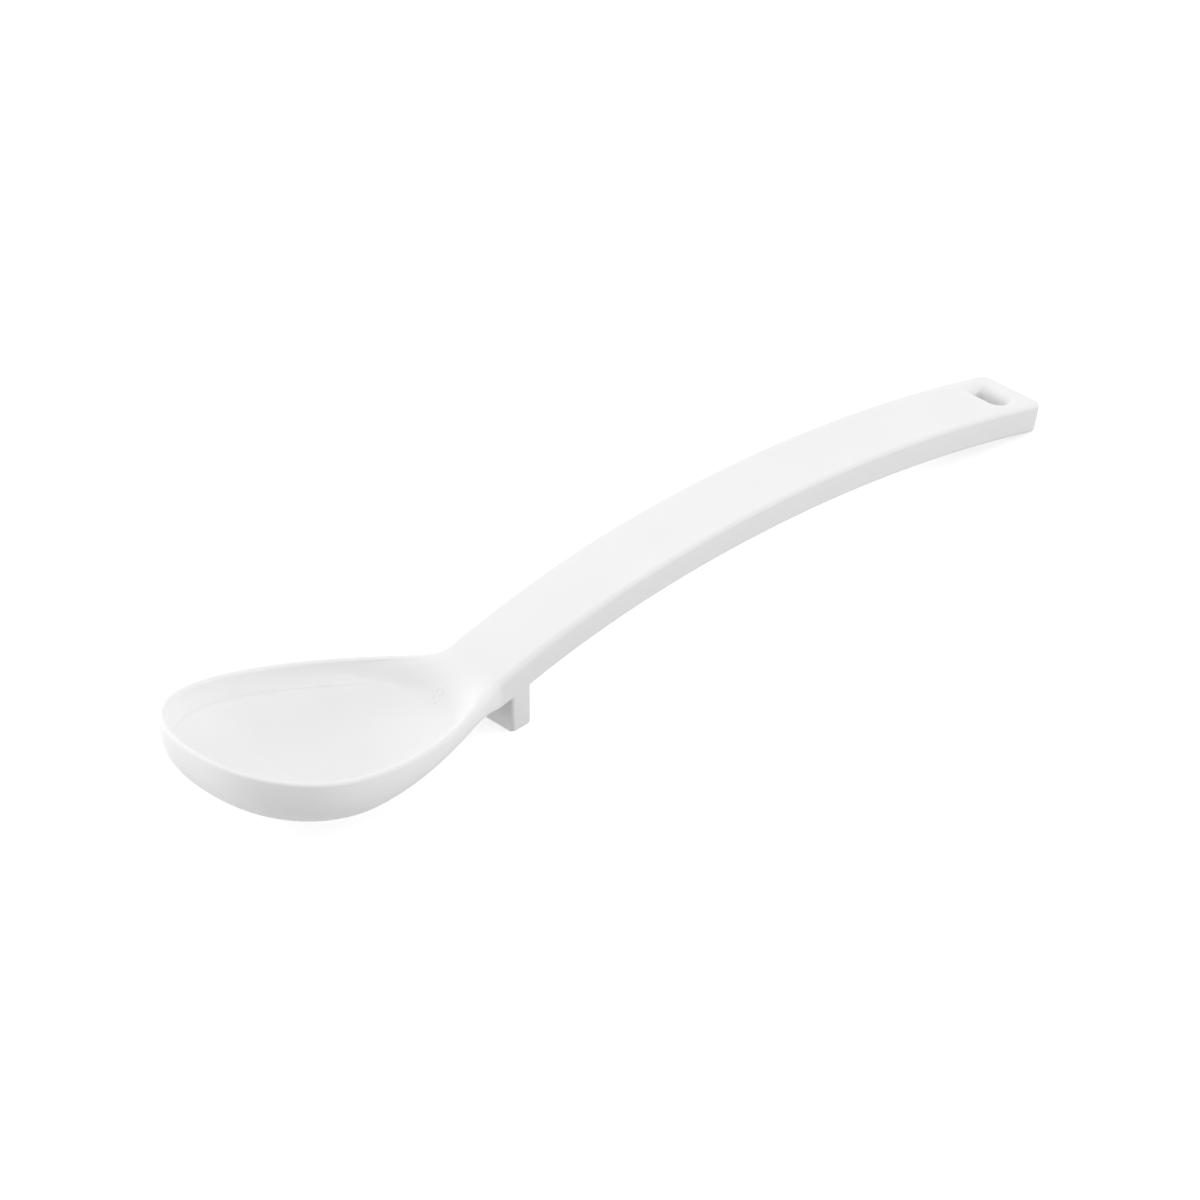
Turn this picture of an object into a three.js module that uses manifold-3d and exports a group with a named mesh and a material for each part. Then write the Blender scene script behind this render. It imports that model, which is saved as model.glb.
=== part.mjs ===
// Silicone measuring ladle: one soft moulding over a stiff nylon core.
// Millimetres, +Z up. The ladle stands on a worktop, on its foot and on the lower edge of
// its handle's end, with the bowl held clear. The origin is on the worktop under the middle
// of the length, and +X runs from the bowl's tip to the handle's end.

import * as THREE from 'three';
import { mergeVertices } from 'three/addons/utils/BufferGeometryUtils.js';
import Module from 'manifold-3d';

// Bowl
const OVERALL_LENGTH = 280;
const BOWL_LENGTH = 87.5; // tip to neck
const BOWL_WIDTH = 56;
const BOWL_DEPTH = 17.6; // rim to underside at the widest place
const BOWL_FLOOR = 3; // silicone under the middle of the bowl
const WIDEST_FROM_TIP = 29.2;
const TIP_HEIGHT = 35.2; // rim above the worktop
const RIM_WALL = 1.6;
const RIM_FALL = 11.2; // degrees that the rim line falls towards the neck

// Fill line engraved round the inside of the bowl
const FILL_DEPTH = 6; // below the rim, from the tip to the widest place
const FILL_RISE = 3.2; // that it comes up by from there to the neck
const FILL_WIDTH = 1;
const FILL_CUT = 0.2;
const FILL_END = 5.4; // depth of the bowl behind, where the line has died out
const FILL_FADE = 3; // depth over which it does so

// Neck, where the rim line and the handle's upper face meet in a soft valley
const VALLEY_HEIGHT = 15.95; // above the worktop
const VALLEY_BEFORE_NECK = 1.6;
const VALLEY_BLEND = 4.5; // on each side of the valley
const LIP_LENGTH = 16; // over which the bowl's floor swells into the handle

// Handle
const HANDLE_WIDTH = 20.2;
const HANDLE_THICKNESS = 7.5;
const HANDLE_RISE = 13.3; // degrees at the neck
const HANDLE_DROP = 14.5; // degrees at the end
const ARCH_ARM_NECK = 51; // Bezier arms of the arch
const ARCH_ARM_END = 65;
const END_FLAT = 10; // straight stretch at the end
const END_CORNER = 2.5;
const UPPER_EDGE = 1;
const LOWER_EDGE = 0.8;

// Foot under the neck
const FOOT_THICKNESS = 6.6;
const FOOT_SETBACK = 3.2; // front face behind the neck
const FOOT_SOLE = 0.6; // round of the lower edges
const FOOT_EDGE = 1.2; // round of the upright edges

// Hanging slot
const SLOT_WIDTH = 5.6;
const SLOT_LENGTH = 9.6;
const SLOT_SETBACK = 9.6; // middle of the slot to the handle's end
const SLOT_CORNER = 1.5;
const SLOT_EDGE = 2.4;

// Nylon core, and the silicone round it
const FACE_SKIN = 1.2;
const SIDE_SKIN = 1.7;
const FIT = 0.3;
const CORE_CHAMFER = 0.7;
const TONGUE_REACH = 11; // from the neck, under the bowl's back slope
const CORE_TO_SLOT = 3.5;
const STUB_SKIN = 1.7; // silicone in front of and behind the stub in the foot
const SOLE = 2.5; // silicone under the stub
const WINDOW_COUNT = 4; // windows in the core that the silicone keys through
const WINDOW_LENGTH = 14;
const WINDOW_WIDTH = 6;
const PIN_DIAMETER = 3; // holes left by the pins that hold the core in the mould

// Form of the curves
const TIP_CURVE = 2.23; // superellipse of the bowl's front, in plan
const WIDEST_ARM = 0.494; // arms of the curve from the widest place to the neck,
const NECK_ARM = 0.05; // as shares of its length
const OUTER_FLANK = 2.48; // superellipse of the bowl's section
const OUTER_BELLY = 3.12;
const INNER_FLANK = 2.5;
const INNER_BELLY = 2.2;
const OUTER_RUN = 1.5; // how late the underside rises towards the neck
const SQUARE_RUN = 20; // how late the round flank turns into the handle's square one
const FILL_DEEPEST = 0.85; // the fill line's greatest share of the bowl's depth

// Facets
const CURVE_POINTS = 120;
const FRONT_STEPS = 14;
const BACK_STEPS = 16;
const HANDLE_STEPS = 22;
const CORNER_STEPS = 4;
const ROUND_STEPS = 3;
const SIDE_STEPS = 2;
const BOTTOM_STEPS = 4;
const WALL_STEPS = 3;
const FLOOR_STEPS = 6;
const TONGUE_STEPS = 3;
const BAR_STEPS = 20;
const TIP_STEPS = 5;
const CUT_STEPS = 12;
const NUDGE = 0.01; // radians, for the direction of a curve

const { lerp, clamp, smoothstep, degToRad } = THREE.MathUtils;
const HALF_TURN = Math.PI;
const QUARTER_TURN = Math.PI / 2;
const ACROSS = new THREE.Vector3(0, 1, 0);

// Stations along X
const X_TIP = -OVERALL_LENGTH / 2;
const X_END = OVERALL_LENGTH / 2 + UPPER_EDGE * Math.sin(degToRad(HANDLE_DROP)); // on the top line
const X_WIDEST = X_TIP + WIDEST_FROM_TIP;
const X_NECK = X_TIP + BOWL_LENGTH;
const X_VALLEY = X_NECK - VALLEY_BEFORE_NECK;
const FOOT_MIDDLE = X_NECK + FOOT_SETBACK + FOOT_THICKNESS / 2;

// Side view: the top line of rim, valley, arch and flat end
const RIM_DIRECTION = directionAt(-RIM_FALL);
const RISE_DIRECTION = directionAt(HANDLE_RISE);
const DROP_DIRECTION = directionAt(-HANDLE_DROP);
const topPoints = topLine().getPoints(CURVE_POINTS);

function directionAt(degrees) {
  return new THREE.Vector2(Math.cos(degToRad(degrees)), Math.sin(degToRad(degrees)));
}

function stepFrom(point, direction, distance) {
  return point.clone().addScaledVector(direction, distance);
}

function topLine() {
  const tip = new THREE.Vector2(X_TIP, TIP_HEIGHT);
  const valley = new THREE.Vector2(X_VALLEY, VALLEY_HEIGHT);
  const rimEnd = stepFrom(valley, RIM_DIRECTION, -VALLEY_BLEND);
  const archStart = stepFrom(valley, RISE_DIRECTION, VALLEY_BLEND);
  const rimMiddle = (tip.x + rimEnd.x) / 2;
  const rimHandle = stepFrom(rimEnd, RIM_DIRECTION, (rimMiddle - rimEnd.x) / RIM_DIRECTION.x);
  // The end's lower edge touches the worktop with its rounded corners
  const drop = degToRad(HANDLE_DROP);
  const cornerRound = LOWER_EDGE * (1 - Math.cos(drop) - Math.sin(drop) * Math.SQRT1_2);
  const endHeight = HANDLE_THICKNESS * Math.cos(drop) + cornerRound;
  const end = new THREE.Vector2(X_END, endHeight);
  const archEnd = stepFrom(end, DROP_DIRECTION, -END_FLAT);
  const line = new THREE.CurvePath();
  line.add(new THREE.QuadraticBezierCurve(tip, rimHandle, rimEnd));
  line.add(new THREE.QuadraticBezierCurve(rimEnd, valley, archStart));
  line.add(new THREE.CubicBezierCurve(
    archStart,
    stepFrom(archStart, RISE_DIRECTION, ARCH_ARM_NECK),
    stepFrom(archEnd, DROP_DIRECTION, -ARCH_ARM_END),
    archEnd,
  ));
  line.add(new THREE.LineCurve(archEnd, end));
  return line;
}

function topSegment(x) {
  const after = topPoints.findIndex((point) => point.x >= x);
  const index = after < 0 ? topPoints.length - 1 : Math.max(after, 1);
  return [topPoints[index - 1], topPoints[index]];
}

function topPoint(x, y = 0) {
  const [before, after] = topSegment(x);
  const share = (x - before.x) / (after.x - before.x);
  return new THREE.Vector3(x, y, lerp(before.y, after.y, share));
}

function topSlope(x) {
  const [before, after] = topSegment(x);
  return Math.atan2(after.y - before.y, after.x - before.x);
}

// Eases from 0 to 1, flat at both ends: a larger run starts later
function ease(share, run) {
  const s = clamp(share, 0, 1);
  return s ** run * (1 + run * (1 - s));
}

function neckShare(x) {
  return (x - X_WIDEST) / (X_NECK - X_WIDEST);
}

// Sections hang plumb under the rim and stand square to the handle
function lean(x) {
  return x < X_NECK ? topSlope(X_NECK) * ease(neckShare(x), OUTER_RUN) : topSlope(x);
}

function upAt(x) {
  return new THREE.Vector3(-Math.sin(lean(x)), 0, Math.cos(lean(x)));
}

function outerDepth(x) {
  return lerp(BOWL_DEPTH, HANDLE_THICKNESS, ease(neckShare(x), OUTER_RUN));
}

function innerDepth(x) {
  const swell = smoothstep(x, X_NECK - LIP_LENGTH, X_NECK);
  return outerDepth(x) - lerp(BOWL_FLOOR, HANDLE_THICKNESS, swell);
}

function edgeRound(x) {
  return lerp(RIM_WALL / 2, UPPER_EDGE, ease(neckShare(x), OUTER_RUN));
}

// Plan view: one half of the outline, from the tip round to the middle of the handle's end.
// Each place also names the spine station that its section runs in to.
function halfOutline() {
  const places = [];
  const half = BOWL_WIDTH / 2;
  const side = HANDLE_WIDTH / 2;
  for (let step = 0; step < FRONT_STEPS; step++) {
    const angle = QUARTER_TURN * step / FRONT_STEPS;
    const x = X_WIDEST - WIDEST_FROM_TIP * Math.cos(angle) ** (2 / TIP_CURVE);
    places.push({ x, y: half * Math.sin(angle) ** (2 / TIP_CURVE), spine: X_WIDEST });
  }
  const back = X_NECK - X_WIDEST;
  const backCurve = new THREE.CubicBezierCurve(
    new THREE.Vector2(X_WIDEST, half),
    new THREE.Vector2(X_WIDEST + back * WIDEST_ARM, half),
    new THREE.Vector2(X_NECK - back * NECK_ARM, side),
    new THREE.Vector2(X_NECK, side),
  );
  for (const point of backCurve.getPoints(BACK_STEPS)) {
    places.push({ x: point.x, y: point.y, spine: point.x });
  }
  const endSpine = X_END - END_FLAT * DROP_DIRECTION.x;
  for (let step = 1; step <= HANDLE_STEPS; step++) {
    const x = lerp(X_NECK, endSpine, step / HANDLE_STEPS);
    places.push({ x, y: side, spine: x });
  }
  for (let step = 0; step <= CORNER_STEPS; step++) {
    const angle = QUARTER_TURN * step / CORNER_STEPS;
    const x = X_END - END_CORNER * (1 - Math.sin(angle));
    places.push({ x, y: side - END_CORNER * (1 - Math.cos(angle)), spine: endSpine });
  }
  places.push({ x: X_END, y: 0, spine: endSpine });
  return places;
}

// Outside of a section, from the top edge down to the middle of the underside: the bowl's
// superellipse, which turns into the square flank of the handle.
function outerFlank(x, half) {
  const round = edgeRound(x);
  const depth = outerDepth(x);
  const square = ease(neckShare(x), SQUARE_RUN);
  const gathered = x > X_NECK;
  const flank = [];
  const rows = SIDE_STEPS + ROUND_STEPS + BOTTOM_STEPS;
  for (let row = 0; row <= rows; row++) {
    const angle = QUARTER_TURN * row / rows;
    const bowl = new THREE.Vector2(
      half * Math.max(Math.cos(angle), 0) ** (2 / OUTER_FLANK),
      round + (depth - round) * Math.sin(angle) ** (2 / OUTER_BELLY),
    );
    const bar = new THREE.Vector2();
    if (row <= SIDE_STEPS) {
      const share = gathered ? Math.ceil(row / SIDE_STEPS) : row / SIDE_STEPS;
      bar.set(half, lerp(round, depth - LOWER_EDGE, share));
    } else if (row <= SIDE_STEPS + ROUND_STEPS) {
      const turn = QUARTER_TURN * (row - SIDE_STEPS) / ROUND_STEPS;
      bar.set(half - LOWER_EDGE * (1 - Math.cos(turn)), depth - LOWER_EDGE * (1 - Math.sin(turn)));
    } else {
      const share = (row - SIDE_STEPS - ROUND_STEPS) / BOTTOM_STEPS;
      bar.set((half - LOWER_EDGE) * (1 - (gathered ? Math.floor(share) : share)), depth);
    }
    flank.push(row === rows ? new THREE.Vector2(0, depth) : bowl.lerp(bar, square));
  }
  return flank;
}

// Inside of a section, from behind the rim's round to the middle of the floor, with the
// fill line as a small V-groove. On the handle it lies flat.
function innerFlank(x, half) {
  const round = edgeRound(x);
  const depth = innerDepth(x);
  const crest = half - round;
  if (x > X_NECK) {
    const rows = ROUND_STEPS + WALL_STEPS + FLOOR_STEPS + 2;
    return Array.from({ length: rows }, (_, row) => new THREE.Vector2(row === rows - 1 ? 0 : crest, 0));
  }
  const roundDepth = Math.min(round, depth);
  const flank = [];
  for (let row = 1; row <= ROUND_STEPS; row++) {
    const turn = QUARTER_TURN * row / ROUND_STEPS;
    flank.push(new THREE.Vector2(crest - round * Math.sin(turn), roundDepth * (1 - Math.cos(turn))));
  }
  const wallHalf = crest - round;
  const wallDepth = depth - roundDepth;
  const wallAt = (angle) => new THREE.Vector2(
    wallHalf * Math.max(Math.cos(angle), 0) ** (2 / INNER_FLANK),
    roundDepth + wallDepth * Math.sin(angle) ** (2 / INNER_BELLY),
  );
  // The groove comes up behind, until the floor meets it
  const fill = FILL_DEPTH - FILL_RISE * clamp(neckShare(x), 0, 1) ** 3;
  const share = clamp((fill - roundDepth) / Math.max(wallDepth, FILL_WIDTH), 0, FILL_DEEPEST);
  const line = Math.max(Math.asin(share ** (INNER_BELLY / 2)), NUDGE);
  const downWall = wallAt(line + NUDGE).sub(wallAt(line - NUDGE));
  const spread = FILL_WIDTH * NUDGE / downWall.length();
  const intoWall = new THREE.Vector2(downWall.y, -downWall.x).normalize();
  const cut = FILL_CUT * smoothstep(depth, FILL_END, FILL_END + FILL_FADE);
  for (let row = 1; row <= WALL_STEPS; row++) {
    flank.push(wallAt((line - spread) * row / WALL_STEPS));
  }
  flank.push(wallAt(line).addScaledVector(intoWall, cut));
  for (let row = 0; row <= FLOOR_STEPS; row++) {
    flank.push(wallAt(lerp(line + spread, QUARTER_TURN, row / FLOOR_STEPS)));
  }
  flank[flank.length - 1].set(0, depth);
  return flank;
}

// One column of the skin, from the middle of the underside over the edge to the middle of
// the upper side
function skinColumn({ x, y, spine }) {
  const root = topPoint(spine);
  const reach = topPoint(x, y).sub(root);
  const half = reach.length();
  const up = upAt(spine);
  const round = edgeRound(spine);
  const edge = [];
  for (let row = 1; row <= ROUND_STEPS; row++) {
    const turn = QUARTER_TURN * row / ROUND_STEPS;
    edge.push(new THREE.Vector2(half - round * (1 - Math.cos(turn)), round * (1 - Math.sin(turn))));
  }
  const section = [...outerFlank(spine, half).reverse(), ...edge, ...innerFlank(spine, half)];
  return section.map((point) => root.clone()
    .addScaledVector(reach, point.x / half)
    .addScaledVector(up, -point.y));
}

// Joins neighbouring rings of points into a closed skin, with flat caps where asked
function loft(rings, { looped, capped }) {
  const positions = rings.flat().flatMap((point) => [point.x, point.y, point.z]);
  const size = rings[0].length;
  const spans = looped ? rings.length : rings.length - 1;
  const sides = capped ? size : size - 1;
  const index = [];
  for (let ring = 0; ring < spans; ring++) {
    const here = ring * size;
    const next = ((ring + 1) % rings.length) * size;
    for (let row = 0; row < sides; row++) {
      const above = (row + 1) % size;
      index.push(here + row, next + above, next + row);
      index.push(here + row, here + above, next + above);
    }
  }
  if (capped) {
    const last = (rings.length - 1) * size;
    for (let row = 1; row < size - 1; row++) {
      index.push(0, row + 1, row);
      index.push(last, last + row, last + row + 1);
    }
  }
  const geometry = new THREE.BufferGeometry();
  geometry.setAttribute('position', new THREE.Float32BufferAttribute(positions, 3));
  geometry.setIndex(index);
  return geometry;
}

// Solids that can be joined and cut
const wasm = await Module();
wasm.setup();

function solidOf(geometry) {
  const bare = geometry.clone();
  bare.deleteAttribute('normal');
  bare.deleteAttribute('uv');
  const merged = mergeVertices(bare);
  const corners = merged.index.array;
  const triVerts = [];
  for (let first = 0; first < corners.length; first += 3) {
    const [a, b, c] = corners.slice(first, first + 3);
    if (a !== b && b !== c && c !== a) triVerts.push(a, b, c);
  }
  return new wasm.Manifold(new wasm.Mesh({
    numProp: 3,
    vertProperties: new Float32Array(merged.attributes.position.array),
    triVerts: new Uint32Array(triVerts),
  }));
}

function geometryOf(solid) {
  const mesh = solid.getMesh();
  const geometry = new THREE.BufferGeometry();
  geometry.setAttribute('position', new THREE.BufferAttribute(mesh.vertProperties, 3));
  geometry.setIndex(new THREE.BufferAttribute(mesh.triVerts, 1));
  geometry.computeVertexNormals();
  return geometry;
}

// Sets a shape drawn on the handle's upper face, with its depth along the face's normal
function seatOnHandle(geometry, x) {
  const up = upAt(x);
  const along = ACROSS.clone().cross(up);
  const seat = new THREE.Matrix4().makeBasis(along, ACROSS, up).setPosition(topPoint(x));
  return geometry.applyMatrix4(seat);
}

function roundedRectangle(length, width, corner) {
  const a = length / 2;
  const b = width / 2;
  const shape = new THREE.Shape();
  shape.absarc(a - corner, b - corner, corner, 0, QUARTER_TURN);
  shape.absarc(corner - a, b - corner, corner, QUARTER_TURN, HALF_TURN);
  shape.absarc(corner - a, corner - b, corner, HALF_TURN, HALF_TURN + QUARTER_TURN);
  shape.absarc(a - corner, corner - b, corner, HALF_TURN + QUARTER_TURN, 2 * HALF_TURN);
  return shape;
}

function rectangleRing(length, width, corner, height) {
  const points = roundedRectangle(length, width, corner).getPoints(CORNER_STEPS).slice(0, -1);
  return points.map((point) => new THREE.Vector3(point.x, point.y, height));
}

// Foot: an upright slab across the neck, rounded at its sole
function footSolid() {
  const ringAt = (inset, height) => rectangleRing(
    FOOT_THICKNESS - 2 * inset,
    HANDLE_WIDTH - 2 * inset,
    FOOT_EDGE,
    height,
  );
  const rings = [];
  for (let step = 0; step <= ROUND_STEPS; step++) {
    const turn = QUARTER_TURN * step / ROUND_STEPS;
    rings.push(ringAt(FOOT_SOLE * (1 - Math.sin(turn)), FOOT_SOLE * (1 - Math.cos(turn))));
  }
  rings.push(ringAt(0, topPoint(FOOT_MIDDLE).z - HANDLE_THICKNESS / 2));
  return solidOf(loft(rings, { looped: false, capped: true }).translate(FOOT_MIDDLE, 0, 0));
}

// Hanging slot, flared at both faces so that its edges come out rounded
function slotCutter() {
  const rings = [];
  const ringAt = (flare, height) => rectangleRing(
    SLOT_WIDTH + 2 * flare,
    SLOT_LENGTH + 2 * flare,
    SLOT_CORNER + flare,
    height,
  );
  const flareAt = (turn) => SLOT_EDGE * (1 - Math.cos(turn));
  const steps = Array.from({ length: ROUND_STEPS + 1 }, (_, step) => QUARTER_TURN * step / ROUND_STEPS);
  rings.push(ringAt(SLOT_EDGE, -HANDLE_THICKNESS - SLOT_EDGE));
  for (const turn of [...steps].reverse()) {
    rings.push(ringAt(flareAt(turn), SLOT_EDGE * (1 - Math.cos(QUARTER_TURN - turn)) - HANDLE_THICKNESS));
  }
  for (const turn of steps) {
    rings.push(ringAt(flareAt(turn), -SLOT_EDGE * (1 - Math.sin(turn))));
  }
  rings.push(ringAt(SLOT_EDGE, SLOT_EDGE));
  return solidOf(seatOnHandle(loft(rings, { looped: false, capped: true }), X_END - SLOT_SETBACK));
}

// Core: a bar through the handle, with a tongue under the bowl's back slope, a stub in the foot and
// windows for the silicone. Grown by the fit on every side, it is the hollow of the skin.
const CORE_HALF = HANDLE_WIDTH / 2 - SIDE_SKIN - FIT;
const CORE_TIP = X_NECK - TONGUE_REACH;
const CORE_END = X_END - SLOT_SETBACK - SLOT_WIDTH / 2 - CORE_TO_SLOT;

function coreRing(x, halfWidth, grown) {
  const middle = (innerDepth(x) + outerDepth(x)) / 2;
  const halfThickness = (outerDepth(x) - innerDepth(x)) / 2 - FACE_SKIN - FIT + grown;
  const chamfer = Math.min(CORE_CHAMFER, halfThickness / 2, halfWidth / 2);
  const root = topPoint(x).addScaledVector(upAt(x), -middle);
  const corners = [
    [halfWidth, chamfer - halfThickness], [halfWidth, halfThickness - chamfer],
    [halfWidth - chamfer, halfThickness], [chamfer - halfWidth, halfThickness],
    [-halfWidth, halfThickness - chamfer], [-halfWidth, chamfer - halfThickness],
    [chamfer - halfWidth, -halfThickness], [halfWidth - chamfer, -halfThickness],
  ];
  return corners.map(([y, z]) => root.clone().addScaledVector(ACROSS, y).addScaledVector(upAt(x), z));
}

function coreSolid(grown) {
  const half = CORE_HALF + grown;
  const tipCentre = CORE_TIP + CORE_HALF;
  const endCentre = CORE_END - CORE_HALF;
  const rings = [];
  for (let step = 1; step < TIP_STEPS; step++) {
    const turn = QUARTER_TURN * step / TIP_STEPS;
    rings.push(coreRing(tipCentre - half * Math.cos(turn), half * Math.sin(turn), grown));
  }
  for (let step = 0; step < TONGUE_STEPS; step++) {
    rings.push(coreRing(lerp(tipCentre, X_NECK, step / TONGUE_STEPS), half, grown));
  }
  for (let step = 0; step <= BAR_STEPS; step++) {
    rings.push(coreRing(lerp(X_NECK, endCentre, step / BAR_STEPS), half, grown));
  }
  for (let step = TIP_STEPS - 1; step > 0; step--) {
    const turn = QUARTER_TURN * step / TIP_STEPS;
    rings.push(coreRing(endCentre + half * Math.cos(turn), half * Math.sin(turn), grown));
  }
  let core = solidOf(loft(rings, { looped: false, capped: true })).add(stubSolid(grown));
  for (const x of windowPlaces()) {
    const shape = roundedRectangle(WINDOW_LENGTH - 2 * grown, WINDOW_WIDTH - 2 * grown, WINDOW_WIDTH / 2 - grown);
    const window = new THREE.ExtrudeGeometry(shape, {
      depth: HANDLE_THICKNESS,
      curveSegments: CORNER_STEPS,
      bevelEnabled: false,
    });
    window.translate(0, 0, -HANDLE_THICKNESS);
    core = core.subtract(solidOf(seatOnHandle(window, x)));
  }
  return core;
}

function stubSolid(grown) {
  const thickness = FOOT_THICKNESS - 2 * (STUB_SKIN + FIT - grown);
  const bottom = SOLE + FIT - grown;
  const top = topPoint(FOOT_MIDDLE).z - HANDLE_THICKNESS / 2;
  const stub = new THREE.BoxGeometry(thickness, 2 * (CORE_HALF - FOOT_EDGE + grown), top - bottom);
  return solidOf(stub.translate(FOOT_MIDDLE, 0, (top + bottom) / 2));
}

// Windows are spread evenly between the foot and the core's end, with a pin hole between
// each two
function windowPitch() {
  return (CORE_END - FOOT_MIDDLE) / (WINDOW_COUNT + 0.5);
}

function windowPlaces() {
  return Array.from({ length: WINDOW_COUNT }, (_, place) => FOOT_MIDDLE + windowPitch() * (place + 0.75));
}

function pinPlaces() {
  return windowPlaces().slice(0, -1).map((x) => x + windowPitch() / 2);
}

function pinCutter(x) {
  const pin = new THREE.CylinderGeometry(PIN_DIAMETER / 2, PIN_DIAMETER / 2, HANDLE_THICKNESS, CUT_STEPS);
  pin.rotateX(QUARTER_TURN).translate(0, 0, -HANDLE_THICKNESS);
  return solidOf(seatOnHandle(pin, x));
}

function skinSolid() {
  const half = halfOutline();
  const other = half.slice(1, -1).reverse().map((place) => ({ ...place, y: -place.y }));
  const columns = [...half, ...other].map(skinColumn);
  let skin = solidOf(loft(columns, { looped: true, capped: false }));
  skin = skin.add(footSolid()).subtract(slotCutter()).subtract(coreSolid(FIT));
  for (const x of pinPlaces()) {
    skin = skin.subtract(pinCutter(x));
  }
  return skin;
}

function node(name, solid, material) {
  const mesh = new THREE.Mesh(geometryOf(solid), new THREE.MeshStandardMaterial(material));
  mesh.name = name;
  return mesh;
}

const ladle = new THREE.Group();
ladle.name = 'measuring_ladle';
ladle.add(node('silicone_skin', skinSolid(), { color: 0xf2f2f1, roughness: 0.55, metalness: 0 }));
ladle.add(node('nylon_core', coreSolid(0), { color: 0xd8d5cc, roughness: 0.45, metalness: 0 }));

export default ladle;
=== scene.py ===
"""Looks of the silicone measuring ladle: smooth moulded skin, nylon core and a plain white studio."""

import math

import bmesh
import bpy
import numpy as np
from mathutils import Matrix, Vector
from mathutils.bvhtree import BVHTree


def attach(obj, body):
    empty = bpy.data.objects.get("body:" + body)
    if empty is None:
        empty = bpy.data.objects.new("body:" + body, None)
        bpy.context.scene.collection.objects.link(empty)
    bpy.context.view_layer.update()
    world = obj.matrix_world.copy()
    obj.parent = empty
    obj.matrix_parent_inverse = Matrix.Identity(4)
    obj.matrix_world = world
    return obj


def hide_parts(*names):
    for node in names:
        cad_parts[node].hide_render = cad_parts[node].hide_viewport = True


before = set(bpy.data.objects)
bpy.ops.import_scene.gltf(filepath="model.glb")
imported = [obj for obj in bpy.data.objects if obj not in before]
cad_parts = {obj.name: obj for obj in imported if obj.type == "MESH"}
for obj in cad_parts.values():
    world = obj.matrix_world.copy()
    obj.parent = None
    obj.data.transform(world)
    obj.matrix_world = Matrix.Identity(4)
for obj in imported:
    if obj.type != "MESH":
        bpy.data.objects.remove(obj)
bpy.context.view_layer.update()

MM = 0.001
QUARTER_TURN = math.pi / 2

# Bowl, in millimetres as in the CAD source
OVERALL_LENGTH = 280
BOWL_LENGTH = 87.5
BOWL_WIDTH = 56
BOWL_DEPTH = 17.6
BOWL_FLOOR = 3
WIDEST_FROM_TIP = 29.2
TIP_HEIGHT = 35.2
RIM_WALL = 1.6
RIM_FALL = 11.2  # degrees

# Fill line
FILL_DEPTH = 6
FILL_RISE = 3.2
FILL_WIDTH = 1
FILL_CUT = 0.2
FILL_END = 5.4
FILL_FADE = 3
FILL_DEEPEST = 0.85

# Neck and handle
VALLEY_HEIGHT = 15.95
VALLEY_BEFORE_NECK = 1.6
VALLEY_BLEND = 4.5
LIP_LENGTH = 16
BASIN_TO_NECK = 5.5  # from the basin's back end to the neck
BASIN_TURN = 20  # length over which the basin's outline turns in
SHOULDER_BACK = 0.42  # half the soft slope behind the basin, as a share of the basin's width
SHOULDER_SIDE = 0.12  # half the soft slope beside it
NECK_ROUND = 0.6  # extra rounding of the upper edges at the neck
NECK_ROUND_FRONT = 26  # the rounding starts this far before the neck
NECK_ROUND_BACK = 60  # and ends this far behind it
HANDLE_WIDTH = 20.2
HANDLE_THICKNESS = 7.5
HANDLE_RISE = 13.3  # degrees
HANDLE_DROP = 14.5  # degrees
ARCH_ARM_NECK = 51
ARCH_ARM_END = 65
END_FLAT = 10
END_CORNER = 2.5
UPPER_EDGE = 1
LOWER_EDGE = 0.8

# Foot, hanging slot and the pin holes under the handle
FOOT_THICKNESS = 6.6
FOOT_SETBACK = 3.2
FOOT_SOLE = 0.6
FOOT_EDGE = 1.2
SLOT_WIDTH = 5.6
SLOT_LENGTH = 9.6
SLOT_SETBACK = 9.6
SLOT_CORNER = 1.5
SLOT_EDGE = 2.4
SLOT_LIFT = 0.1  # of the rounding past the face, so that it crosses the face clearly
CORE_TO_SLOT = 3.5
WINDOW_COUNT = 4
FIRST_WINDOW = 0.75  # pitches from the foot to the first window of the core
PIN_DIAMETER = 3
CORE_FIT = 0.3

# Form of the curves
TIP_CURVE = 2.23
WIDEST_ARM = 0.494
NECK_ARM = 0.08
OUTER_FLANK = 2.48
OUTER_BELLY = 3.12
INNER_FLANK = 2.5
INNER_BELLY = 2.2
OUTER_RUN = 1.5
SQUARE_RUN = 20

# Raised figure on the slope behind the bowl
FIGURE_X = -64.6
FIGURE_TURN = 20  # degrees
FIGURE_LOOPS = ((-1.35, 1.2, 1.02), (1.25, 1.1, 0.92))  # place along the figure, half length, half width
FIGURE_STROKE = 0.8
FIGURE_HEIGHT = 0.3
FIGURE_ROOT = 0.5
FIGURE_SINK = 0.02

# Fineness of the smooth skin
CURVE_POINTS = 400
FRONT_STEPS = 64
BACK_STEPS = 84
HANDLE_STEPS = 120
CORNER_STEPS = 12
END_STEPS = 10
SIDE_STEPS = 10
LOWER_STEPS = 15
BOTTOM_STEPS = 20
ROUND_STEPS = 8
WALL_STEPS = 16
GROOVE_STEPS = 8
FLOOR_STEPS = 28
RING_STEPS = 40
RIDGE_STEPS = 12
NUDGE = 0.01  # radians
WELD = 1e-7  # metres
CARVED_WELD = 3e-6  # metres
CREASE = math.radians(38)

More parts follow.
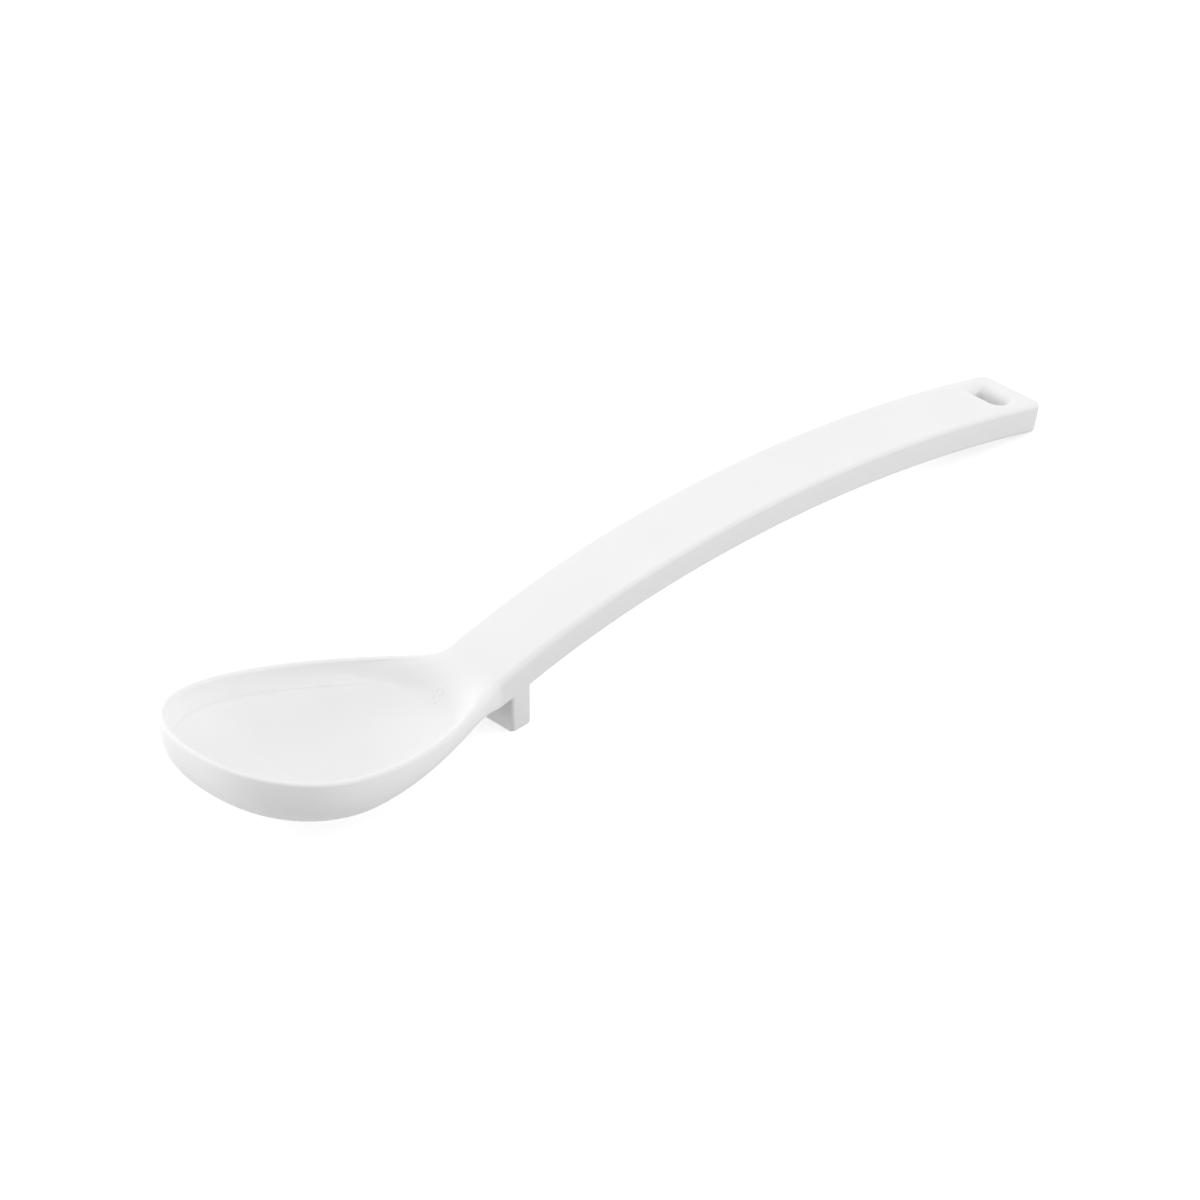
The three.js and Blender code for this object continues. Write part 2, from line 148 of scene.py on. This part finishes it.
# Stations along X
X_TIP = -OVERALL_LENGTH / 2
X_END = OVERALL_LENGTH / 2 + UPPER_EDGE * math.sin(math.radians(HANDLE_DROP))
X_WIDEST = X_TIP + WIDEST_FROM_TIP
X_NECK = X_TIP + BOWL_LENGTH
X_VALLEY = X_NECK - VALLEY_BEFORE_NECK
X_BASIN_TURN = X_NECK - BASIN_TO_NECK - BASIN_TURN
X_FOOT = X_NECK + FOOT_SETBACK + FOOT_THICKNESS / 2
X_SLOT = X_END - SLOT_SETBACK
X_CORE_END = X_SLOT - SLOT_WIDTH / 2 - CORE_TO_SLOT


def direction_at(degrees):
    return np.array([math.cos(math.radians(degrees)), math.sin(math.radians(degrees))])


def bezier(points, count):
    share = np.linspace(0, 1, count)[:, None]
    line = [np.array(point, float)[None] for point in points]
    while len(line) > 1:
        line = [start + (end - start) * share for start, end in zip(line, line[1:])]
    return line[0]


def top_line():
    """Side view of rim, valley, arch and flat end."""
    fall = direction_at(-RIM_FALL)
    rise = direction_at(HANDLE_RISE)
    drop = direction_at(-HANDLE_DROP)
    tip = np.array([X_TIP, TIP_HEIGHT])
    valley = np.array([X_VALLEY, VALLEY_HEIGHT])
    rim_end = valley - VALLEY_BLEND * fall
    arch_start = valley + VALLEY_BLEND * rise
    rim_handle = rim_end + fall * ((tip[0] - rim_end[0]) / 2 / fall[0])
    angle = math.radians(HANDLE_DROP)
    # The lower corner of the end touches the worktop
    corner = LOWER_EDGE * (1 - math.cos(angle) - math.sin(angle) * math.sqrt(0.5))
    end = np.array([X_END, HANDLE_THICKNESS * math.cos(angle) + corner])
    arch_end = end - END_FLAT * drop
    spans = (
        (tip, rim_handle, rim_end),
        (rim_end, valley, arch_start),
        (arch_start, arch_start + ARCH_ARM_NECK * rise, arch_end - ARCH_ARM_END * drop, arch_end),
        (arch_end, end),
    )
    return np.vstack([bezier(span, CURVE_POINTS)[:-1] for span in spans] + [end[None]])


TOP_LINE = top_line()
TOP_SLOPE = np.arctan(np.gradient(TOP_LINE[:, 1], TOP_LINE[:, 0]))


def top_height(x):
    return float(np.interp(x, TOP_LINE[:, 0], TOP_LINE[:, 1]))


def top_slope(x):
    return float(np.interp(x, TOP_LINE[:, 0], TOP_SLOPE))


def top_point(x, y=0.0):
    return np.array([x, y, top_height(x)])


def mix(start, end, share):
    return start + (end - start) * share


def ease(share, run):
    """From 0 to 1, flat at both ends: a larger run starts later."""
    share = min(max(share, 0), 1)
    return share**run * (1 + run * (1 - share))


def smooth_step(value, start, end):
    share = min(max((value - start) / (end - start), 0), 1)
    return share * share * (3 - 2 * share)


def neck_share(x):
    return (x - X_WIDEST) / (X_NECK - X_WIDEST)


def lean(x):
    if x < X_NECK:
        return top_slope(X_NECK) * ease(neck_share(x), OUTER_RUN)
    return top_slope(x)


def up_at(x):
    return np.array([-math.sin(lean(x)), 0, math.cos(lean(x))])


def outer_depth(x):
    return mix(BOWL_DEPTH, HANDLE_THICKNESS, ease(neck_share(x), OUTER_RUN))


def inner_depth(x):
    swell = smooth_step(x, X_NECK - LIP_LENGTH, X_NECK)
    return outer_depth(x) - mix(BOWL_FLOOR, HANDLE_THICKNESS, swell)


def edge_round(x):
    plain = mix(RIM_WALL / 2, UPPER_EDGE, ease(neck_share(x), OUTER_RUN))
    before = smooth_step(x, X_NECK - NECK_ROUND_FRONT, X_NECK)
    behind = smooth_step(x, X_NECK, X_NECK + NECK_ROUND_BACK)
    return plain + NECK_ROUND * (before - behind)


def basin_share(x, across, crest):
    """1 in the basin, 0 on the shoulders beside it, which widen into the handle."""
    turned = max((x - X_BASIN_TURN) / BASIN_TURN, 0)
    soft = mix(SHOULDER_SIDE, SHOULDER_BACK, min(turned, 1))
    edge = 1 + soft * (1 - smooth_step(x, X_BASIN_TURN - BASIN_TURN, X_BASIN_TURN + BASIN_TURN / 2))
    share = np.clip((edge + soft - np.hypot(across / crest, turned)) / (2 * soft), 0, 1)
    return share * share * (3 - 2 * share)


def half_outline():
    """Plan view from the tip to the middle of the handle's end: places, and the spine they run in to."""
    half = BOWL_WIDTH / 2
    side = HANDLE_WIDTH / 2
    places = []
    for angle in np.linspace(0, QUARTER_TURN, FRONT_STEPS, endpoint=False):
        x = X_WIDEST - WIDEST_FROM_TIP * math.cos(angle) ** (2 / TIP_CURVE)
        places.append((x, half * math.sin(angle) ** (2 / TIP_CURVE), X_WIDEST))
    back = X_NECK - X_WIDEST
    arms = (
        (X_WIDEST, half),
        (X_WIDEST + back * WIDEST_ARM, half),
        (X_NECK - back * NECK_ARM, side),
        (X_NECK, side),
    )
    places += [(x, y, x) for x, y in bezier(arms, BACK_STEPS)]
    end_spine = X_END - END_FLAT * math.cos(math.radians(HANDLE_DROP))
    places += [(x, side, x) for x in np.linspace(X_NECK, end_spine, HANDLE_STEPS)[1:]]
    places += [(x, side, end_spine) for x in np.linspace(end_spine, X_END - END_CORNER, END_STEPS)[1:-1]]
    for angle in np.linspace(0, QUARTER_TURN, CORNER_STEPS):
        x = X_END - END_CORNER * (1 - math.sin(angle))
        places.append((x, side - END_CORNER * (1 - math.cos(angle)), end_spine))
    places += [(X_END, y, end_spine) for y in np.linspace(side - END_CORNER, 0, END_STEPS)[1:]]
    return places


def outer_flank(x, half):
    """From the top edge to the middle of the underside: the round bowl turns into the square bar."""
    round_ = edge_round(x)
    depth = outer_depth(x)
    rows = SIDE_STEPS + LOWER_STEPS + BOTTOM_STEPS
    angle = np.linspace(0, QUARTER_TURN, rows + 1)
    bowl = np.column_stack([
        half * np.clip(np.cos(angle), 0, 1) ** (2 / OUTER_FLANK),
        round_ + (depth - round_) * np.sin(angle) ** (2 / OUTER_BELLY),
    ])
    down = np.linspace(round_, depth - LOWER_EDGE, SIDE_STEPS + 1)
    turn = np.linspace(0, QUARTER_TURN, LOWER_STEPS + 1)[1:]
    across = np.linspace(half - LOWER_EDGE, 0, BOTTOM_STEPS + 1)[1:]
    bar = np.vstack([
        np.column_stack([np.full(SIDE_STEPS + 1, half), down]),
        np.column_stack([
            half - LOWER_EDGE * (1 - np.cos(turn)),
            depth - LOWER_EDGE * (1 - np.sin(turn)),
        ]),
        np.column_stack([across, np.full(BOTTOM_STEPS, depth)]),
    ])
    flank = mix(bowl, bar, ease(neck_share(x), SQUARE_RUN))
    flank[-1, 0] = 0
    return flank


def inner_flank(x, half):
    """From behind the rim's round to the middle of the floor, with the fill line as a soft groove."""
    round_ = edge_round(x)
    depth = max(inner_depth(x), 0)
    crest = half - round_
    round_depth = min(round_, depth)
    turn = np.linspace(0, QUARTER_TURN, ROUND_STEPS + 1)[1:]
    lip = np.column_stack([crest - round_ * np.sin(turn), round_depth * (1 - np.cos(turn))])
    wall_half = crest - round_
    wall_depth = depth - round_depth

    def wall_at(angles):
        angles = np.atleast_1d(angles)
        return np.column_stack([
            wall_half * np.clip(np.cos(angles), 0, 1) ** (2 / INNER_FLANK),
            round_depth + wall_depth * np.sin(angles) ** (2 / INNER_BELLY),
        ])

    fill = FILL_DEPTH - FILL_RISE * min(max(neck_share(x), 0), 1) ** 3
    share = min(max((fill - round_depth) / max(wall_depth, FILL_WIDTH), 0), FILL_DEEPEST)
    line = max(math.asin(share ** (INNER_BELLY / 2)), 2 * NUDGE)
    down_wall = (wall_at(line + NUDGE) - wall_at(line - NUDGE))[0]
    length = float(np.hypot(*down_wall))
    spread = min(FILL_WIDTH * NUDGE / length, line / 2)
    into_wall = np.array([down_wall[1], -down_wall[0]]) / length
    cut = FILL_CUT * smooth_step(depth, FILL_END, FILL_END + FILL_FADE)
    groove_share = np.linspace(-1, 1, GROOVE_STEPS + 1)
    groove = wall_at(line + spread * groove_share)
    groove += into_wall * (cut * (1 + np.cos(math.pi * groove_share)) / 2)[:, None]
    flank = np.vstack([
        lip,
        wall_at(np.linspace(0, line - spread, WALL_STEPS + 1)[1:-1]),
        groove,
        wall_at(np.linspace(line + spread, QUARTER_TURN, FLOOR_STEPS + 1)[1:]),
    ])
    flank[-1] = (0, depth)
    flank[:, 1] *= basin_share(x, flank[:, 0], crest)
    return flank


def skin_column(x, y, spine):
    """From the middle of the underside over the edge to the middle of the upper side."""
    root = top_point(spine)
    reach = top_point(x, y) - root
    half = float(np.linalg.norm(reach))
    round_ = edge_round(spine)
    turn = np.linspace(0, QUARTER_TURN, ROUND_STEPS + 1)[1:]
    edge = np.column_stack([half - round_ * (1 - np.cos(turn)), round_ * (1 - np.sin(turn))])
    section = np.vstack([outer_flank(spine, half)[::-1], edge, inner_flank(spine, half)])
    return root + section[:, :1] / half * reach - section[:, 1:] * up_at(spine)


def weld(mesh, distance):
    """Joins points that meet, drops faces without area and turns the others outwards."""
    shape = bmesh.new()
    shape.from_mesh(mesh)
    bmesh.ops.remove_doubles(shape, verts=shape.verts, dist=distance)
    bmesh.ops.dissolve_degenerate(shape, edges=shape.edges, dist=distance)
    bmesh.ops.recalc_face_normals(shape, faces=shape.faces)
    shape.to_mesh(mesh)
    shape.free()


def mesh_object(name, points, faces):
    """An object from points in millimetres."""
    mesh = bpy.data.meshes.new(name)
    mesh.from_pydata((np.asarray(points) * MM).tolist(), [], faces)
    weld(mesh, WELD)
    piece = bpy.data.objects.new(name, mesh)
    bpy.context.scene.collection.objects.link(piece)
    return piece


def loft(name, rings, looped=False, capped=False, tubular=False):
    """Joins rings of points: looped ones come back to the first, tubular ones close on themselves."""
    size = len(rings[0])
    faces = []
    for ring in range(len(rings) if looped else len(rings) - 1):
        here = ring * size
        there = (ring + 1) % len(rings) * size
        for row in range(size if tubular else size - 1):
            after = (row + 1) % size
            faces.append((here + row, there + row, there + after, here + after))
    if capped:
        last = (len(rings) - 1) * size
        faces.append(tuple(range(size)))
        faces.append(tuple(range(last, last + size)))
    return mesh_object(name, np.vstack(rings), faces)


def rectangle_ring(length, width, corner, height):
    """A rectangle with round corners, lying level."""
    ring = []
    for quarter, (along, across) in enumerate(((1, 1), (-1, 1), (-1, -1), (1, -1))):
        for angle in np.linspace(0, QUARTER_TURN, CORNER_STEPS) + quarter * QUARTER_TURN:
            ring.append((
                along * (length / 2 - corner) + corner * math.cos(angle),
                across * (width / 2 - corner) + corner * math.sin(angle),
                height,
            ))
    return np.array(ring)


def seat_on_handle(points, x):
    """Sets points drawn on the handle's upper face, with their depth along the face's normal."""
    up = up_at(x)
    along = np.cross((0, 1, 0), up)
    return top_point(x) + points @ np.array([along, (0, 1, 0), up])


def foot():
    rings = []
    for turn in np.linspace(0, QUARTER_TURN, ROUND_STEPS + 1):
        inset = FOOT_SOLE * (1 - math.sin(turn))
        size = (FOOT_THICKNESS - 2 * inset, HANDLE_WIDTH - 2 * inset)
        rings.append(rectangle_ring(*size, FOOT_EDGE, FOOT_SOLE * (1 - math.cos(turn))))
    top = top_height(X_FOOT) - HANDLE_THICKNESS / 2
    rings.append(rectangle_ring(FOOT_THICKNESS, HANDLE_WIDTH, FOOT_EDGE, top))
    return loft("foot", [ring + (X_FOOT, 0, 0) for ring in rings], capped=True, tubular=True)


def slot_cutter():
    """The hanging slot, flared at both faces so that its edges come out rounded."""
    turns = np.linspace(0, QUARTER_TURN, ROUND_STEPS + 1)
    flares = np.append(SLOT_EDGE * (1 - np.cos(turns)), SLOT_EDGE)
    heights = np.append(SLOT_EDGE * (np.sin(turns) - 1), SLOT_EDGE) + SLOT_LIFT
    lower = zip(flares[::-1], -HANDLE_THICKNESS - heights[::-1])
    rings = [
        rectangle_ring(SLOT_WIDTH + 2 * flare, SLOT_LENGTH + 2 * flare, SLOT_CORNER + flare, height)
        for flare, height in [*lower, *zip(flares, heights)]
    ]
    return loft("slot", [seat_on_handle(ring, X_SLOT) for ring in rings], capped=True, tubular=True)


def pin_cutter(x):
    """The hole that a mould pin leaves, from below the handle up into the core."""
    angles = np.linspace(0, 2 * math.pi, RING_STEPS, endpoint=False)
    circle = np.column_stack([np.cos(angles), np.sin(angles)]) * PIN_DIAMETER / 2
    heights = (-1.5 * HANDLE_THICKNESS, -HANDLE_THICKNESS / 2)
    rings = [np.column_stack([circle, np.full(RING_STEPS, height)]) for height in heights]
    return loft("pin", [seat_on_handle(ring, x) for ring in rings], capped=True, tubular=True)


def pin_places():
    """Half-way between the windows of the core."""
    pitch = (X_CORE_END - X_FOOT) / (WINDOW_COUNT - 1 + 2 * FIRST_WINDOW)
    return [X_FOOT + pitch * (FIRST_WINDOW + place + 0.5) for place in range(WINDOW_COUNT - 1)]


def core_hollow():
    """The room of the core: the core itself, grown by its fit."""
    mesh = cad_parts["nylon_core"].data.copy()
    shape = bmesh.new()
    shape.from_mesh(mesh)
    bmesh.ops.remove_doubles(shape, verts=shape.verts, dist=WELD)
    bmesh.ops.recalc_face_normals(shape, faces=shape.faces)
    shape.normal_update()
    for vertex in shape.verts:
        vertex.co += vertex.normal * vertex.calc_shell_factor() * CORE_FIT * MM
    shape.to_mesh(mesh)
    shape.free()
    hollow = bpy.data.objects.new("hollow", mesh)
    bpy.context.scene.collection.objects.link(hollow)
    return hollow


def figure_loop(place, half_length, half_width, surface):
    """One loop of the raised figure: a low soft ridge that follows the bowl's back slope."""
    share = np.linspace(-1, 1, RIDGE_STEPS + 1)
    rise = FIGURE_HEIGHT * (1 + np.cos(math.pi * share)) / 2 - FIGURE_SINK
    section = np.column_stack([share * FIGURE_STROKE / 2, rise])
    section = np.vstack([section, (FIGURE_STROKE / 2, -FIGURE_ROOT), (-FIGURE_STROKE / 2, -FIGURE_ROOT)])
    turn = np.array([direction_at(FIGURE_TURN), direction_at(FIGURE_TURN + 90)])
    rings = []
    for angle in np.linspace(0, 2 * math.pi, RING_STEPS, endpoint=False):
        middle = np.array([place + half_length * math.cos(angle), half_width * math.sin(angle)])
        out = np.array([math.cos(angle) / half_length, math.sin(angle) / half_width])
        out /= np.linalg.norm(out)
        ring = []
        for across, height in section:
            x, y = (FIGURE_X, 0) + (middle + across * out) @ turn
            above = Vector((x * MM, y * MM, TIP_HEIGHT * MM))
            ground = surface.ray_cast(above, Vector((0, 0, -1)))[0].z / MM
            ring.append((x, y, ground + height))
        rings.append(np.array(ring))
    return loft("figure", rings, looped=True, tubular=True)


def carve(piece, tools):
    """Joins closed tools to a piece or cuts them from it, and removes the tools."""
    for operation, tool in tools:
        step = piece.modifiers.new(tool.name, "BOOLEAN")
        step.operation = operation
        step.solver = "EXACT"
        step.object = tool
        ready = piece.evaluated_get(bpy.context.evaluated_depsgraph_get())
        mesh = bpy.data.meshes.new_from_object(ready)
        piece.modifiers.clear()
        piece.data = mesh
        bpy.data.objects.remove(tool)


def ladle_skin():
    half = half_outline()
    other = [(x, -y, spine) for x, y, spine in half[1:-1]][::-1]
    columns = [skin_column(*place) for place in half + other]
    skin = loft("ladle_skin", columns, looped=True)
    shape = bmesh.new()
    shape.from_mesh(skin.data)
    surface = BVHTree.FromBMesh(shape)
    shape.free()
    tools = [("UNION", figure_loop(*loop, surface)) for loop in FIGURE_LOOPS]
    tools += [("UNION", foot()), ("DIFFERENCE", slot_cutter())]
    tools += [("DIFFERENCE", pin_cutter(x)) for x in pin_places()]
    tools += [("DIFFERENCE", core_hollow())]
    carve(skin, tools)
    weld(skin.data, CARVED_WELD)
    skin.data.shade_smooth()
    skin.data.set_sharp_from_angle(angle=CREASE)
    return skin


def linear(hex_colour):
    """sRGB hex to a linear colour."""
    colour = []
    for start in (1, 3, 5):
        part = int(hex_colour[start:start + 2], 16) / 255
        colour.append(part / 12.92 if part <= 0.04045 else ((part + 0.055) / 1.055) ** 2.4)
    return [*colour, 1.0]


def add_node(tree, kind, settings, links=()):
    """Adds a node, with its settings and sockets by name, and its links as (socket, source) pairs."""
    node = tree.nodes.new(kind)
    for name, value in settings.items():
        if name in node.inputs:
            node.inputs[name].default_value = value
        else:
            setattr(node, name, value)
    for name, source in links:
        tree.links.new(source, node.inputs[name])
    return node


# Sockets of a mix node's colours, whose names its other kinds share
MIX_START = 6
MIX_END = 7
MIX_RESULT = 2


def mixed_colour(tree, factor, start, end):
    """From one hex colour to the other as the factor rises."""
    node = add_node(tree, "ShaderNodeMix", {"data_type": "RGBA"}, [("Factor", factor)])
    node.inputs[MIX_START].default_value = linear(start)
    node.inputs[MIX_END].default_value = linear(end)
    return node.outputs[MIX_RESULT]


def new_material(name):
    material = bpy.data.materials.new(name)
    material.use_nodes = True
    material.node_tree.nodes.clear()
    return material, material.node_tree


# Moulded silicone: milky white, matte from the blasted mould, light sinks a little way in
SILICONE_WHITE = "#F2F2F2"
SILICONE_SHADE = "#EEEEEE"
SILICONE_CLOUD = 18 * MM  # faint clouds of the pigment
SILICONE_GRAIN = 0.7 * MM  # blasted mould grit, drawn coarser than its 0.1 mm to show at all
SILICONE_GRAIN_HEIGHT = 0.012 * MM
SILICONE_DEPTH = 1.2 * MM


def moulded_silicone():
    material, tree = new_material("moulded_silicone")
    place = add_node(tree, "ShaderNodeTexCoord", {}).outputs["Object"]
    cloud = add_node(
        tree, "ShaderNodeTexNoise",
        {"Scale": 1 / SILICONE_CLOUD, "Detail": 3.0, "Roughness": 0.5},
        [("Vector", place)],
    )
    grain = add_node(
        tree, "ShaderNodeTexNoise",
        {"Scale": 1 / SILICONE_GRAIN, "Detail": 2.0, "Roughness": 0.6},
        [("Vector", place)],
    )
    colour = mixed_colour(tree, cloud.outputs["Fac"], SILICONE_WHITE, SILICONE_SHADE)
    dull = add_node(
        tree, "ShaderNodeMapRange",
        {"From Min": 0.3, "From Max": 0.7, "To Min": 0.5, "To Max": 0.6},
        [("Value", cloud.outputs["Fac"])],
    )
    bump = add_node(
        tree, "ShaderNodeBump",
        {"Strength": 1.0, "Distance": SILICONE_GRAIN_HEIGHT},
        [("Height", grain.outputs["Fac"])],
    )
    skin = add_node(
        tree, "ShaderNodeBsdfPrincipled",
        {
            "IOR": 1.41,
            "Subsurface Weight": 0.3,
            "Subsurface Scale": SILICONE_DEPTH,
            "Subsurface Radius": (1.0, 1.0, 1.0),
        },
        [
            ("Base Color", colour),
            ("Roughness", dull.outputs["Result"]),
            ("Normal", bump.outputs["Normal"]),
        ],
    )
    add_node(tree, "ShaderNodeOutputMaterial", {}, [("Surface", skin.outputs["BSDF"])])
    return material


# Glass-filled nylon: natural off-white, satin, with short fibres that show as pale flecks
NYLON_BODY = "#D6D2C6"
NYLON_FIBRE = "#E4E1D8"
FIBRE_WIDTH = 0.25 * MM  # drawn wider than a real fibre's 0.01 mm to show at all
FIBRE_STRETCH = 0.2


def glass_filled_nylon():
    material, tree = new_material("glass_filled_nylon")
    place = add_node(tree, "ShaderNodeTexCoord", {}).outputs["Object"]
    along = add_node(
        tree, "ShaderNodeMapping",
        {"Scale": (FIBRE_STRETCH, 1.0, 1.0)},
        [("Vector", place)],
    )
    fibres = add_node(
        tree, "ShaderNodeTexNoise",
        {"Scale": 1 / FIBRE_WIDTH, "Detail": 1.0},
        [("Vector", along.outputs["Vector"])],
    )
    flecks = add_node(
        tree, "ShaderNodeMapRange",
        {"From Min": 0.52, "From Max": 0.66},
        [("Value", fibres.outputs["Fac"])],
    )
    colour = mixed_colour(tree, flecks.outputs["Result"], NYLON_BODY, NYLON_FIBRE)
    dull = add_node(
        tree, "ShaderNodeMapRange",
        {"To Min": 0.38, "To Max": 0.52},
        [("Value", fibres.outputs["Fac"])],
    )
    core = add_node(
        tree, "ShaderNodeBsdfPrincipled",
        {"IOR": 1.53},
        [("Base Color", colour), ("Roughness", dull.outputs["Result"])],
    )
    add_node(tree, "ShaderNodeOutputMaterial", {}, [("Surface", core.outputs["BSDF"])])
    return material


# Studio: a white floor that keeps a faint shadow, a pale surround and four softboxes
FLOOR_SIZE = 8.0
FLOOR_PAPER = "#D3D3D3"
FLOOR_GLOW = 0.6  # what the camera sees of the floor beside the lit paper
SURROUND = 0.53
SOFTBOX_DISTANCE = 3.0
SOFTBOXES = (  # degrees round from +X, degrees up, width, height, watts
    ("left_low", 135, 12, 3.0, 1.2, 32.0),
    ("left_high", 142, 52, 2.1, 2.1, 21.0),
    ("back", 67, 20, 2.1, 2.1, 19.0),
    ("right", 315, 32, 2.8, 3.4, 45.0),
)


def seen_straight(tree):
    """1 where the camera, a mirror or glass looks straight at the surface."""
    path = add_node(tree, "ShaderNodeLightPath", {})
    seen = path.outputs["Is Camera Ray"]
    for kind in ("Is Glossy Ray", "Is Transmission Ray"):
        either = add_node(
            tree, "ShaderNodeMath",
            {"operation": "MAXIMUM"},
            [(0, seen), (1, path.outputs[kind])],
        )
        seen = either.outputs["Value"]
    return seen


def studio_floor():
    side = FLOOR_SIZE / 2 / MM
    corners = [(-side, -side, 0), (side, -side, 0), (side, side, 0), (-side, side, 0)]
    floor = mesh_object("floor", corners, [(0, 1, 2, 3)])
    material, tree = new_material("white_paper")
    paper = add_node(tree, "ShaderNodeBsdfDiffuse", {"Color": linear(FLOOR_PAPER)})
    glow = add_node(tree, "ShaderNodeEmission", {"Strength": FLOOR_GLOW})
    lit = add_node(
        tree, "ShaderNodeAddShader",
        {},
        [(0, paper.outputs["BSDF"]), (1, glow.outputs["Emission"])],
    )
    shown = add_node(
        tree, "ShaderNodeMixShader",
        {},
        [(0, seen_straight(tree)), (1, paper.outputs["BSDF"]), (2, lit.outputs["Shader"])],
    )
    add_node(tree, "ShaderNodeOutputMaterial", {}, [("Surface", shown.outputs["Shader"])])
    floor.data.materials.append(material)


def surround():
    world = bpy.data.worlds.new("white_surround")
    world.use_nodes = True
    tree = world.node_tree
    tree.nodes.clear()
    strength = add_node(
        tree, "ShaderNodeMapRange",
        {"To Min": SURROUND, "To Max": 1.0},
        [("Value", seen_straight(tree))],
    )
    white = add_node(
        tree, "ShaderNodeBackground",
        {"Color": (1.0, 1.0, 1.0, 1.0)},
        [("Strength", strength.outputs["Result"])],
    )
    add_node(tree, "ShaderNodeOutputWorld", {}, [("Surface", white.outputs["Background"])])
    bpy.context.scene.world = world


def softbox(name, round_, up, width, height, power):
    light = bpy.data.lights.new(name, "AREA")
    light.shape = "RECTANGLE"
    light.size = width
    light.size_y = height
    light.energy = power
    lamp = bpy.data.objects.new(name, light)
    level = Vector((math.cos(math.radians(round_)), math.sin(math.radians(round_)), 0))
    towards = level * math.cos(math.radians(up)) + Vector((0, 0, math.sin(math.radians(up))))
    lamp.location = towards * SOFTBOX_DISTANCE
    lamp.rotation_euler = towards.to_track_quat("Z", "Y").to_euler()
    lamp.visible_camera = False
    bpy.context.scene.collection.objects.link(lamp)


# Camera, as the photograph's: far off, so that the perspective is slight
CAMERA_PLACE = (-887.4, -869.9, 851.0)
CAMERA_TARGET = (-5.2, 4.4, 10.0)
CAMERA_LENS = 186.6  # on a 36 mm sensor


def photograph_camera():
    data = bpy.data.cameras.new("camera")
    data.lens = CAMERA_LENS
    data.clip_end = FLOOR_SIZE
    camera = bpy.data.objects.new("camera", data)
    place = Vector(CAMERA_PLACE) * MM
    camera.location = place
    camera.rotation_euler = (Vector(CAMERA_TARGET) * MM - place).to_track_quat("-Z", "Y").to_euler()
    bpy.context.scene.collection.objects.link(camera)
    bpy.context.scene.camera = camera


skin = ladle_skin()
skin.data.materials.clear()
skin.data.materials.append(moulded_silicone())
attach(skin, "root")
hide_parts("silicone_skin")

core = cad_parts["nylon_core"]
core.data.materials.clear()
core.data.materials.append(glass_filled_nylon())

studio_floor()
surround()
for box in SOFTBOXES:
    softbox(*box)
photograph_camera()
bpy.context.scene.view_settings.view_transform = "Standard"
